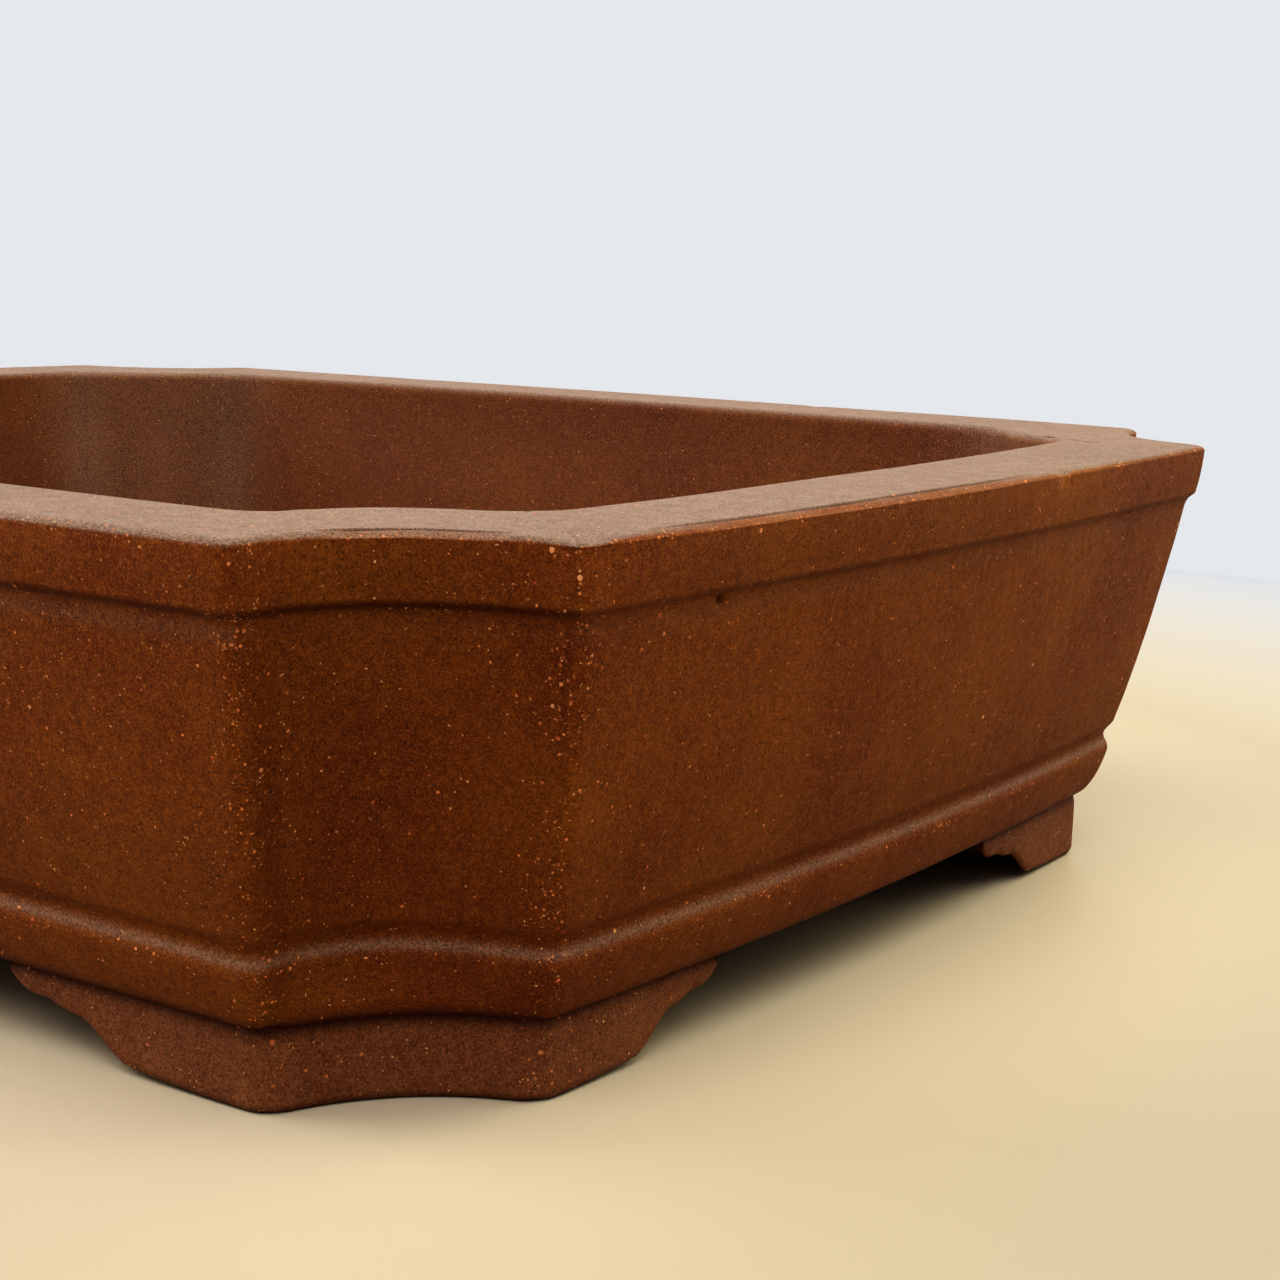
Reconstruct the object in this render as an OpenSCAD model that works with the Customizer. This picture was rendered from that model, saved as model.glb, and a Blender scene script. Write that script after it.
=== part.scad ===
// Bonsai pot: a footed stoneware rectangle with hollowed cut corners.
//
// The pot is built the way a slab pot is luted together: a floor slab, four
// walls and four corner panels standing on it, a rim band on top, a belt
// moulding around the base and four bracket feet that wrap the corners.
// Every member is its own node. The members meet face to face.
// Two drainage screens and their wire clips complete the pot.
//
// Plan: eight runs follow each other around the pot. Even runs are the bowed
// sides (0 front, 2 right, 4 back, 6 left). Odd runs are the hollowed corners
// (1 front right, 3 back right, 5 back left, 7 front left).
// A profile point is [inset, height]: inset is measured inwards from the rim
// line, height upwards from the table. The origin is the centre of the base.

/* [Pot] */
// Length of the rim at its corners
pot_l = 300; // [270:1:330]
// Width of the rim at its corners
pot_w = 235; // [215:1:265]
// Height from the table to the rim
pot_h = 75; // [70:1:90]
// Outward bow in the middle of every side
side_bow = 3.2; // [0:0.1:4]

/* [Corners] */
// Leg of each cut corner at the rim
corner_cut = 28; // [25:0.5:32]
// Depth of the hollow in each cut corner at the rim
hollow = 6; // [3:0.5:7]
// Loss of hollow depth for each millimetre inwards
hollow_fade = 0.11; // [0.05:0.01:0.14]
// Loss of cut length for each millimetre inwards
cut_fade = 0.195; // [0.1:0.005:0.3]
// Length over which each standing edge is rounded
edge_run = 5; // [2:0.5:6]

/* [Rim] */
// Height of the rim band
rim_h = 9.4; // [8:0.1:12]
// Breadth of the flat rim, outside to inside
rim_b = 21.5; // [19:0.5:24]
// Inward lean of the outer rim face over its height
rim_lean = 0.8; // [0:0.1:1.2]
// Size of the eased top edges
rim_ease = 1.3; // [0.6:0.1:1.6]

/* [Walls] */
// Set-back of the wall under the rim
wall_step = 2.1; // [1.5:0.1:3]
// Outward swell of the wall between rim and belt
wall_swell = 0.6; // [0:0.1:1]
// Inward lean of the inner face from the rim to the floor
inner_lean = 4.5; // [3:0.5:6]
// Radius of the cove between wall and floor, inside
inner_cove = 4; // [2:0.5:6]

/* [Belt] */
// Height of the belt moulding
belt_h = 11.1; // [9:0.1:12]
// Height of the rounded shoulder, part of the belt height
belt_top = 2.8; // [2:0.1:4]
// Depth of the quirk between belt and wall
belt_quirk = 1.2; // [0.6:0.1:1.6]
// Overhang of the belt beyond the feet
belt_out = 4.2; // [3.5:0.1:4.5]

/* [Feet] */
// Height of the feet
foot_h = 11.3; // [10:0.1:14]
// Inset of the feet from the rim line
foot_in = 15.3; // [14:0.1:16]
// Breadth of each foot band, outside to inside
foot_b = 13; // [10:0.5:15]
// Length of the foot arms under the long sides
arm_long = 46; // [36:1:56]
// Length of the foot arms under the short sides
arm_short = 36.5; // [30:0.5:44]

/* [Floor] */
// Thickness of the floor slab
floor_t = 8; // [7:0.5:9]
// Diameter of the two drain holes
drain_d = 26; // [24:1:28]
// Distance of each drain hole from the centre
drain_x = 70; // [60:1:80]
// Diameter of the four tie-wire holes
tie_d = 5; // [4:0.5:6]
// Distance between tie-wire holes along the pot
tie_l = 200; // [190:1:205]
// Distance between tie-wire holes across the pot
tie_w = 110; // [100:1:120]

/* [Drainage] */
// Spacing of the strands of the screen
pitch = 3.8; // [3.4:0.1:4.2]
// Thickness of each strand
strand = 1; // [0.8:0.1:1.2]
// Openings along each edge of the screen
openings = 12; // [10:2:12]
// Diameter of the clip wire
wire_d = 1.6; // [1.2:0.1:1.8]
// Reach of each clip leg under the floor
leg_reach = 9; // [7:0.5:12]

/* [Hidden] */
clay = [0.43, 0.25, 0.14];
dark_clay = [0.33, 0.2, 0.14];
screen_black = [0.13, 0.13, 0.14];
wire_grey = [0.72, 0.71, 0.68];

side_steps = 9;      // spans in the middle of a side
corner_steps = 9;    // spans in the middle of a corner
edge_steps = 4;      // spans on each rounded standing edge
curve_steps = 5;     // spans on a small moulded curve
wall_steps = 5;      // spans up the outside of a wall
wire_sides = 10;
bore_fn = 64;

half_l = pot_l / 2;
half_w = pot_w / 2;
// Lengthwise part of the inward direction at a corner, per millimetre of inset
mitre = 1 - cut_fade;
// Extra inset at a standing edge that makes its rounding run on smoothly
edge_dip = edge_run * mitre / (2 * (1 + mitre * mitre));

rim_z = pot_h - rim_h;
belt_z = foot_h;
belt_max_z = belt_z + belt_h - belt_top;
belt_top_z = belt_z + belt_h;
floor_z = foot_h + floor_t;

rim_drop = 0.75 * rim_ease;      // fall of the eased outer edge
rim_under = 0.7;                 // rounding under the outer rim face
quirk_reach = 2.6;               // height over which the wall flares to the quirk
belt_in = foot_in - belt_out;
quirk_in = belt_in + belt_quirk;
belt_slope = 0.2;                // inward lean of the belt face, per millimetre
belt_bond = 1.7;                 // breadth of the belt under the floor line
slab_in = foot_in + belt_bond;
inner_foot_in = rim_b + inner_lean;

tread_end = 0.49;                // fractions of a foot arm, from the corner
ogee_end = 0.765;
lobe_start = 0.87;
tread_rise = 1.2;                // underside heights at those places
ogee_rise = 6.2;
lobe_rise = 7.2;
foot_ease = 1.5;                 // rounding of the lower outer foot edge

screen = openings * pitch + strand;
screen_z = floor_z;
leg_x = 2.5 * pitch;             // each leg passes the third opening from the middle
leg_y = pitch / 2;
loop_x = 3.6 * pitch;
loop_r = pitch;
low_bend = 1.5 * wire_d;
top_bend = 0.8 * wire_d;
wire_top_z = screen_z + strand + wire_d / 2;
wire_low_z = foot_h - wire_d / 2;

front = 0;
right = 2;
back = 4;
left = 6;
front_right = 1;
back_right = 3;
back_left = 5;
front_left = 7;

// ---- Plan of the pot ----

function is_side(run) = run % 2 == 0;

// Start of a run on the rim line
function run_start(run) =
    let (q = floor(run / 2) % 4,
         sx = (q == 0 || q == 3) ? -1 : 1,
         sy = (q < 2) ? -1 : 1)
    is_side(run)
        ? (q % 2 == 0 ? [sx * (half_l - corner_cut), sy * half_w]
                      : [sx * half_l, sy * (half_w - corner_cut)])
        : (q % 2 == 0 ? [-sx * (half_l - corner_cut), sy * half_w]
                      : [sx * half_l, -sy * (half_w - corner_cut)]);

// Inward direction along which the members meet at the start of a run
function run_mitre(run) =
    let (p = run_start(run), long_end = abs(p[1]) == half_w)
    [-sign(p[0]) * (long_end ? mitre : 1), -sign(p[1]) * (long_end ? 1 : mitre)];

function run_chord(run) = run_start((run + 1) % 8) - run_start(run);
function run_length(run) = norm(run_chord(run));

// Extra inset that rounds the standing edge, d away from it
function edge_inset(d) = d < edge_run ? edge_dip * pow(1 - d / edge_run, 2) : 0;

// Point of the pot on a run, at fraction t, inset and height
function at(run, t, inset, z) =
    let (chord = run_chord(run),
         len = norm(chord),
         out = [chord[1], -chord[0]] / len,
         deep = inset + edge_inset(min(t, 1 - t) * len),
         bulge = is_side(run) ? side_bow : hollow_fade * deep - hollow,
         inward = run_mitre(run) * (1 - t) + run_mitre((run + 1) % 8) * t,
         p = run_start(run) + t * chord + 4 * t * (1 - t) * bulge * out + deep * inward)
    [p[0], p[1], z];

// Fractions along a run: fine on the rounded edges, even in between
function stops(run) =
    let (e = edge_run / run_length(run),
         n = is_side(run) ? side_steps : corner_steps)
    concat([for (i = [0:edge_steps - 1]) e * i / edge_steps],
           [for (i = [0:n]) e + (1 - 2 * e) * i / n],
           [for (i = [edge_steps - 1:-1:0]) 1 - e * i / edge_steps]);

function ring(run, t, profile) = [for (p = profile) at(run, t, p[0], p[1])];

// Closed skin over a list of equal rings, with a flat cap at each end
module skin(rings) {
    n = len(rings[0]);
    last = (len(rings) - 1) * n;
    sides = [for (i = [0:len(rings) - 2], j = [0:n - 1], half = [0, 1])
        let (a = i * n + j, b = i * n + (j + 1) % n)
        half == 0 ? [a, a + n, b] : [b, a + n, b + n]];
    polyhedron(
        points = [for (r = rings, p = r) p],
        faces = concat([[for (j = [0:n - 1]) j]],
                       sides,
                       [[for (j = [n - 1:-1:0]) last + j]]),
        convexity = 6);
}

module band(run, profile) {
    skin([for (t = stops(run)) ring(run, t, profile)]);
}

// ---- Profiles, each going up the inside and down the outside ----

function rim_face_in(z) = rim_lean * pow((pot_h - z) / (rim_h - rim_under), 2);

rim_profile = concat(
    [[rim_b, rim_z]],
    [for (i = [0:2]) let (a = 45 * i)
        [rim_b - rim_ease * (1 - cos(a)), pot_h - rim_ease * (1 - sin(a))]],
    [for (i = [0:curve_steps - 1]) let (a = 90 * i / (curve_steps - 1))
        [rim_ease * (1 - sin(a)), pot_h - rim_drop * (1 - cos(a))]],
    [for (i = [1:3]) let (z = pot_h - rim_drop - (rim_h - rim_drop - rim_under) * i / 3)
        [rim_face_in(z), z]],
    [for (i = [1:2]) let (a = 45 * i)
        [rim_lean + rim_under * (1 - cos(a)), rim_z + rim_under * (1 - sin(a))]]);

function wall_fall(z) = (rim_z - z) / (rim_z - belt_top_z);
function quirk_flare(z) = belt_quirk * pow(max(0, 1 - (z - belt_top_z) / quirk_reach), 2);
function wall_face_in(z) =
    let (f = wall_fall(z))
    wall_step + (belt_in - wall_step) * f - 4 * wall_swell * f * (1 - f) + quirk_flare(z);

wall_profile = concat(
    [[slab_in, floor_z]],
    [for (i = [0:3]) let (a = 30 * i)
        [inner_foot_in + inner_cove * (1 - sin(a)), floor_z + inner_cove * (1 - cos(a))]],
    [[rim_b, rim_z], [wall_step, rim_z]],
    [for (i = [1:wall_steps])
        let (z = rim_z - (rim_z - belt_top_z - quirk_reach) * i / wall_steps)
        [wall_face_in(z), z]],
    [for (i = [1:2]) let (z = belt_top_z + quirk_reach * (1 - i / 2))
        [wall_face_in(z), z]],
    [[slab_in, belt_top_z]]);

belt_curl = belt_out - belt_slope * (belt_max_z - belt_z);

belt_profile = concat(
    [[slab_in, belt_z], [slab_in, belt_top_z]],
    [for (i = [0:curve_steps]) let (a = 90 * i / curve_steps)
        [quirk_in - belt_quirk * sin(a), belt_max_z + belt_top * cos(a)]],
    [for (i = [1:curve_steps + 2]) let (a = 90 * i / (curve_steps + 2),
         drop = (belt_max_z - belt_z) * sin(a))
        [belt_in + belt_slope * drop + belt_curl * (1 - cos(a)), belt_max_z - drop]]);

// ---- Feet ----

// Points [distance from the corner, underside height] along a foot arm:
// a long flat tread, an ogee, a short step and a rounded lobe at the end
function arm_curve(arm) =
    let (tread = tread_end * arm, ogee = ogee_end * arm, lobe = lobe_start * arm)
    concat(
        [for (i = [1:edge_steps]) let (s = edge_run * i / edge_steps)
            [s, tread_rise * pow(s / tread, 2)]],
        [for (i = [1:3]) let (s = edge_run + (tread - edge_run) * i / 3)
            [s, tread_rise * pow(s / tread, 2)]],
        [for (i = [1:6]) let (u = i / 6)
            [tread + (ogee - tread) * u,
             tread_rise + (ogee_rise - tread_rise) * u * u * (3 - 2 * u)]],
        [[lobe, lobe_rise]],
        [for (i = [1:5]) let (a = 15 * i)
            [lobe + (arm - lobe) * sin(a), foot_h - (foot_h - lobe_rise) * cos(a)]]);

function foot_profile(z) =
    let (r = min(foot_ease, (foot_h - z) / 2))
    concat([[foot_in + foot_b, z], [foot_in + foot_b, foot_h], [foot_in, foot_h]],
           [for (i = [0:2]) let (a = 45 * i)
               [foot_in + r * (1 - cos(a)), z + r * (1 - sin(a))]]);

function arm_length(run) = run % 4 == 0 ? arm_long : arm_short;

// Sides are shorter at the foot face than on the rim line
function arm_stop(run, s) = s / (run_length(run) - 2 * foot_in * mitre);

module foot(run) {
    before = (run + 7) % 8;
    after = (run + 1) % 8;
    inbound = arm_curve(arm_length(before));
    outbound = arm_curve(arm_length(after));
    skin(concat(
        [for (i = [len(inbound) - 1:-1:0]) let (c = inbound[i])
            ring(before, 1 - arm_stop(before, c[0]), foot_profile(c[1]))],
        [for (t = stops(run)) ring(run, t, foot_profile(0))],
        [for (c = outbound)
            ring(after, arm_stop(after, c[0]), foot_profile(c[1]))]));
}

// ---- Floor ----

module floor_outline() {
    polygon([for (run = [0:7], i = [0:len(stops(run)) - 2])
        let (p = at(run, stops(run)[i], slab_in, 0)) [p[0], p[1]]]);
}

module floor_slab() {
    color(clay)
    difference() {
        translate([0, 0, foot_h])
            linear_extrude(height = floor_t)
                floor_outline();
        for (sx = [-1, 1]) {
            translate([sx * drain_x, 0, foot_h - 1])
                cylinder(h = floor_t + 2, d = drain_d, $fn = bore_fn);
            for (sy = [-1, 1])
                translate([sx * tie_l / 2, sy * tie_w / 2, foot_h - 1])
                    cylinder(h = floor_t + 2, d = tie_d, $fn = bore_fn);
        }
    }
}

// ---- Drainage screens and clips ----

module screen_at(x) {
    color(screen_black)
    translate([x - screen / 2, -screen / 2, screen_z])
        linear_extrude(height = strand)
            difference() {
                square(screen);
                for (i = [0:openings - 1], j = [0:openings - 1])
                    translate([i * pitch + strand, j * pitch + strand])
                        square(pitch - strand);
            }
}

function unit(v) = v / norm(v);

// Quarter bend from direction u to direction v around a corner point
function bend(corner, u, v, r) =
    [for (i = [0:curve_steps]) let (a = 90 * i / curve_steps)
        corner - r * (1 - sin(a)) * u + r * (1 - cos(a)) * v];

// Half of the clip wire: foot, leg, outward run and loop, up to the crossing
function half_clip() =
    concat(
        [[leg_x + leg_reach, leg_y, wire_low_z]],
        bend([leg_x, leg_y, wire_low_z], [-1, 0, 0], [0, 0, 1], low_bend),
        bend([leg_x, leg_y, wire_top_z], [0, 0, 1], [1, 0, 0], top_bend),
        [for (i = [0:8]) let (a = 90 - 22.5 * i)
            [loop_x + loop_r * cos(a), leg_y - loop_r + loop_r * sin(a), wire_top_z]]);

function half_turn(p) = [-p[0], -p[1], p[2]];

clip_path =
    let (h = half_clip(), n = len(h))
    concat(h, [for (i = [n - 1:-1:0]) half_turn(h[i])]);

function tangent(path, i) =
    unit(path[min(i + 1, len(path) - 1)] - path[max(i - 1, 0)]);

// Side direction carried along the path without twisting
function carried(path) =
    [for (i = 0, s = [0, 1, 0]; i < len(path);
          i = i + 1,
          s = i < len(path)
              ? unit(s - tangent(path, i) * (s * tangent(path, i)))
              : s)
        s];

module clip_at(x) {
    sides = carried(clip_path);
    color(wire_grey)
    translate([x, 0, 0])
        skin([for (i = [0:len(clip_path) - 1])
            let (t = tangent(clip_path, i), s = sides[i], b = cross(t, s))
            [for (k = [0:wire_sides - 1]) let (a = 360 * k / wire_sides)
                clip_path[i] + wire_d / 2 * (cos(a) * s + sin(a) * b)]]);
}

// ---- Nodes ----

module wall(run) { color(clay) band(run, wall_profile); }
module rim(run) { color(clay) band(run, rim_profile); }
module belt(run) { color(clay) band(run, belt_profile); }
module bracket_foot(run) { color(dark_clay) foot(run); }

floor_slab();  // floor

wall(front);  // wall_front
wall(right);  // wall_right
wall(back);  // wall_back
wall(left);  // wall_left
wall(front_right);  // corner_front_right
wall(back_right);  // corner_back_right
wall(back_left);  // corner_back_left
wall(front_left);  // corner_front_left

rim(front);  // rim_front
rim(right);  // rim_right
rim(back);  // rim_back
rim(left);  // rim_left
rim(front_right);  // rim_front_right
rim(back_right);  // rim_back_right
rim(back_left);  // rim_back_left
rim(front_left);  // rim_front_left

belt(front);  // belt_front
belt(right);  // belt_right
belt(back);  // belt_back
belt(left);  // belt_left
belt(front_right);  // belt_front_right
belt(back_right);  // belt_back_right
belt(back_left);  // belt_back_left
belt(front_left);  // belt_front_left

bracket_foot(front_right);  // foot_front_right
bracket_foot(back_right);  // foot_back_right
bracket_foot(back_left);  // foot_back_left
bracket_foot(front_left);  // foot_front_left

screen_at(drain_x);  // screen_right
screen_at(-drain_x);  // screen_left
clip_at(drain_x);  // clip_right
clip_at(-drain_x);  // clip_left
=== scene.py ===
import math

import bmesh
import bpy
import numpy as np
from mathutils import Matrix, Vector, noise


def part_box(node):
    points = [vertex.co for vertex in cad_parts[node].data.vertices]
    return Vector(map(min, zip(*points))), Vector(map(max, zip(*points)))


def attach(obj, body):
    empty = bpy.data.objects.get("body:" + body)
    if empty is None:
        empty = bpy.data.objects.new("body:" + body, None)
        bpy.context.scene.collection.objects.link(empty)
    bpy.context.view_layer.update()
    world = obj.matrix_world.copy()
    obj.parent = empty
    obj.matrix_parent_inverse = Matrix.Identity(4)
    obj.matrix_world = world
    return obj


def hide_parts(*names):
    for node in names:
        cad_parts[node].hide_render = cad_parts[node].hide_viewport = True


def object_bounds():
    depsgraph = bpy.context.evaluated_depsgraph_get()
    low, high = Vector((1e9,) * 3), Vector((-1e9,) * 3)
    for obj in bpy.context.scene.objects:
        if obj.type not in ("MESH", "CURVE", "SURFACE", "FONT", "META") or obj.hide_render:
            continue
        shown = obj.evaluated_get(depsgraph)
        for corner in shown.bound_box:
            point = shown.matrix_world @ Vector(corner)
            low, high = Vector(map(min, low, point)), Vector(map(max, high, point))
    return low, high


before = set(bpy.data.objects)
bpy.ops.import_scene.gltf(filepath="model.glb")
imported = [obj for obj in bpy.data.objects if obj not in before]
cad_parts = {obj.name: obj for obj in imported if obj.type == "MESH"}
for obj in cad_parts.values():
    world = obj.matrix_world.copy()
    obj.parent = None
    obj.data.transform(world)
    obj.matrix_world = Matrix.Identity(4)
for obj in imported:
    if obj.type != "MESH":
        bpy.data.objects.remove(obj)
cad_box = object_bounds()

# ---- Dimensions of the pot, in metres ----

MM = 0.001

# Plan: the sides bow out, and the corners are cut off and hollowed. The hollow fades and the
# cut narrows by a share of the inset. The standing edges are rounded over an edge run.
side_bow = 3.2 * MM
corner_cut = 28 * MM
hollow = 6 * MM
hollow_fade = 0.11
cut_narrowing = 0.195
mitre = 1 - cut_narrowing
edge_run_top, edge_run_low, edge_run_inside = 2.6 * MM, 3.6 * MM, 7 * MM
edge_share = mitre / (2 * (1 + mitre ** 2))

pot_h = cad_box[1][2]
half_l = cad_box[1][0] - side_bow
half_w = cad_box[1][1] - side_bow

# Rim: its breadth, the lean of its face, and its eased edges above and below
rim_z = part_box("rim_front")[0][2]
rim_b = 21.5 * MM
rim_lean = 0.8 * MM
rim_ease = 1.8 * MM
rim_drop = 1.2 * MM
bevel_drop = 0.95 * MM
rim_under = 1.5 * MM
under_turn = math.radians(66)
crease_in = rim_lean + rim_under * (1 - math.cos(under_turn))

# Belt: a shoulder, belt_top high, above a rounded face
belt_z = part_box("belt_front")[0][2]
belt_top_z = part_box("belt_front")[1][2]
belt_top = 2.8 * MM
belt_max_z = belt_top_z - belt_top
belt_out = 4.2 * MM
belt_slope = 0.2

# Feet: two arms each
foot_h = belt_z
foot_in = 15.3 * MM
foot_b = 13 * MM
foot_ease = 1.5 * MM
arm_long = 46 * MM
arm_short = 36.5 * MM

# Walls: a step under the rim, a fillet, a swell, and inside a cove at the floor
floor_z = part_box("floor")[1][2]
wall_step = 2.1 * MM
wall_swell = 0.6 * MM
fillet_reach = 1.8 * MM
inner_in = 26 * MM
inner_cove = 4 * MM
inner_ease = 8 * MM

# Insets where members meet, and the soft cove between the wall and the belt's shoulder
belt_in = foot_in - belt_out
cove_slope, cove_drop, cove_reach = 0.5, 1.1 * MM, 2.4 * MM
quirk_in = belt_in + cove_slope * belt_top / 2
slab_in = foot_in + 1.7 * MM

FRONT, FRONT_RIGHT, RIGHT, BACK_RIGHT, BACK, BACK_LEFT, LEFT, FRONT_LEFT = range(8)
RUNS = ["front", "front_right", "right", "back_right",
        "back", "back_left", "left", "front_left"]


# ---- Plan: eight runs round the pot ----

def smooth(low, high, x):
    u = np.clip((x - low) / (high - low), 0, 1)
    return u * u * (3 - 2 * u)


def bell(x, width):
    return np.exp(-(x / width) ** 2)


def plan_corners():
    """The ends of the runs on the rim line, anticlockwise from the front."""
    corners = []
    for sx, sy in ((-1, -1), (1, -1), (1, 1), (-1, 1)):
        on_long = (sx * (half_l - corner_cut), sy * half_w)
        on_short = (sx * half_l, sy * (half_w - corner_cut))
        corners += [on_long, on_short] if sx * sy < 0 else [on_short, on_long]
    return np.array(corners[1:] + corners[:1])


# Small departures of the hand-worked pot from its plan. The corner where a run starts may be
# shifted, wholly or only inside. A facet may be pressed in: fraction along, breadth, depth.
STRAYED = {BACK_RIGHT: (0, 3 * MM), BACK: (4 * MM, 0)}
STRAYED_INSIDE = np.zeros((8, 2))
STRAYED_INSIDE[BACK_RIGHT] = (0, 11 * MM)
upright_edge = 0.07
PRESSED = {
    FRONT_RIGHT: (0.36, 0.42, 3 * MM),
    BACK_RIGHT: (0.6, 0.4, 0.6 * MM),
    BACK_LEFT: (0.4, 0.4, 1 * MM),
    FRONT_LEFT: (0.62, 0.4, 1.4 * MM),
}

CORNERS = plan_corners()
ON_LONG = np.isclose(abs(CORNERS[:, 1]), half_w)
for run, shift in STRAYED.items():
    CORNERS[run] += shift

# How far each corner moves in x and y for a unit of inset; one standing edge leans in less
MITRES = -np.sign(CORNERS) * np.where(ON_LONG[:, None], (mitre, 1), (1, mitre))
MITRES[FRONT_RIGHT, 0] += upright_edge


def is_side(run):
    return run % 2 == 0


def run_length(run):
    return math.dist(CORNERS[run], CORNERS[(run + 1) % 8])


def pressed(run, t, z):
    """Extra hollow of a facet at t along it; the foot below keeps its plain curve."""
    if run not in PRESSED:
        return 0 * t
    middle, breadth, depth = PRESSED[run]
    to_ends = smooth(0, 0.12, t) * smooth(1, 0.88, t)
    return depth * bell(t - middle, breadth) * to_ends * smooth(foot_h, belt_max_z, z)


def at(run, t, inset, z):
    """Points of the pot: t along a run, inset inwards from the rim line, z up."""
    t, inset, z = np.broadcast_arrays(t, inset, z)
    start, end = CORNERS[run], CORNERS[(run + 1) % 8]
    chord = end - start
    length = run_length(run)
    out = np.array([chord[1], -chord[0]]) / length
    near = np.minimum(t, 1 - t) * length
    within = smooth(foot_in, rim_b, inset)
    edge_run = np.interp(z, (foot_h, pot_h), (edge_run_low, edge_run_top))
    edge_run = edge_run + edge_run_inside * within
    deep = inset + edge_share * edge_run * np.clip(1 - near / edge_run, 0, 1) ** 2
    bulge = side_bow if is_side(run) else hollow_fade * deep - hollow
    bow = (4 * t * (1 - t) * bulge - pressed(run, t, z))[..., None] * out
    inward = (1 - t)[..., None] * MITRES[run] + t[..., None] * MITRES[(run + 1) % 8]
    stray = STRAYED_INSIDE[run] * ((1 - t) * within)[..., None]
    stray = stray + STRAYED_INSIDE[(run + 1) % 8] * (t * within)[..., None]
    plan = start + t[..., None] * chord + bow + deep[..., None] * inward + stray
    return np.concatenate([plan, z[..., None]], axis=-1)


# Small pits and nicks: run, fraction along it, inset, height, radius, depth
PITS = [
    (RIGHT, 0.147, 2.2 * MM, rim_z - 0.9 * MM, 0.65 * MM, 1.2 * MM),
    (FRONT_RIGHT, 0.17, 0.6 * MM, pot_h, 0.9 * MM, 0.35 * MM),
    (RIGHT, 0.008, 0, pot_h, 5 * MM, 0.8 * MM),
    (FRONT_RIGHT, 0.04, foot_in, belt_z + 0.2 * MM, 1.6 * MM, 0.5 * MM),
    (RIGHT, 0.65, 0, pot_h - 0.6 * MM, 2.2 * MM, 0.8 * MM),
    (BACK, 0.3, 0.2 * MM, pot_h - 0.4 * MM, 1.5 * MM, 0.6 * MM),
    (LEFT, 0.55, 0.2 * MM, pot_h - 0.4 * MM, 1.8 * MM, 0.6 * MM),
    (BACK_LEFT, 0.5, 0.7 * MM, rim_z + 0.6 * MM, 1.5 * MM, 0.6 * MM),
    (FRONT, 0.3, 10.7 * MM, belt_max_z, 1.5 * MM, 0.5 * MM),
]

# Pits of a smaller radius than this are darkened as painted shade, and have closer cross sections
small_pit = 1.7 * MM


# ---- Spacing ----

edge_gap, side_gap, facet_gap, gap_reach = 0.3 * MM, 1.6 * MM, 0.9 * MM, 50 * MM
pit_reach, pit_columns = 1.5, 13


def graded(length, fine, coarse, reach):
    """Stations from 0 to length, fine at both ends and coarse in the middle."""
    s = np.linspace(0, length, 1000)
    gap = fine + (coarse - fine) * np.clip(np.minimum(s, length - s) / reach, 0, 1)
    count = np.concatenate([[0], np.cumsum(np.diff(s) / gap[1:])])
    steps = math.ceil(count[-1])
    return np.interp(np.linspace(0, count[-1], steps + 1), count, s)


def columns(run):
    """Fractions along a run where its cross sections stand, closer together at its pits."""
    length = run_length(run)
    s = graded(length, edge_gap, side_gap if is_side(run) else facet_gap, gap_reach)
    for pit_run, t, inset, z, radius, deep in PITS:
        if pit_run == run and radius < small_pit:
            middle, reach = t * length, pit_reach * radius
            s = s[(abs(s - middle) > reach) | (s == 0) | (s == length)]
            s = np.union1d(s, middle + np.linspace(-reach, reach, pit_columns))
    return s[(s >= 0) & (s <= length)] / length


# ---- Cross sections ----

def line(a, b, gap, fine_gap=None):
    """Points of a straight stretch, without its last point."""
    a, b = np.array(a), np.array(b)
    length = math.dist(a, b)
    s = graded(length, fine_gap or gap, gap, length / 3) / length
    return (a + s[:, None] * (b - a))[:-1]


def curve(place, steps):
    """Points of place(u) for u from 0 up to 1, without the last point."""
    return np.array([place(u) for u in np.arange(steps) / steps])


class Section:
    """A closed outline of [inset, z] rows, going up the inside and down the outside.

    Each stretch is either skin, which shows, or a joint against another member. A row's
    facing is the way that its skin looks. It is level where skin ends at a joint, so that
    relief leaves the members in touch.
    """

    def __init__(self, *stretches):
        self.rows = np.concatenate([points for kind, points in stretches])
        self.seen = np.concatenate(
            [np.full(len(points), kind == "skin") for kind, points in stretches])
        ahead = np.roll(self.rows, -1, axis=0) - self.rows
        facing = np.stack([ahead[:, 1], -ahead[:, 0]], axis=1)
        facing /= np.maximum(np.linalg.norm(facing, axis=1), 1e-9)[:, None]
        before = np.roll(self.seen, 1)
        kept = facing * self.seen[:, None] + np.roll(facing, 1, axis=0) * before[:, None]
        at_joint = self.seen != before
        sideways = np.where(abs(kept[:, 0]) > 0.05, np.sign(kept[:, 0]), 0)
        kept[at_joint] = np.stack([sideways, 0 * sideways], axis=1)[at_joint]
        size = np.linalg.norm(kept, axis=1)[:, None]
        self.facing = kept / np.where(size > 0, size, 1)


def inner_face_in(z):
    """Inset of the inner face, which leans in below the rim and stands upright inside it."""
    lean = (inner_in - rim_b) / (rim_z - floor_z - inner_cove)
    below = rim_z - z
    eased = (inner_ease + below) ** 2 / (4 * inner_ease)
    below = np.where(abs(below) < inner_ease, eased, np.maximum(below, 0))
    return rim_b + lean * below


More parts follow.
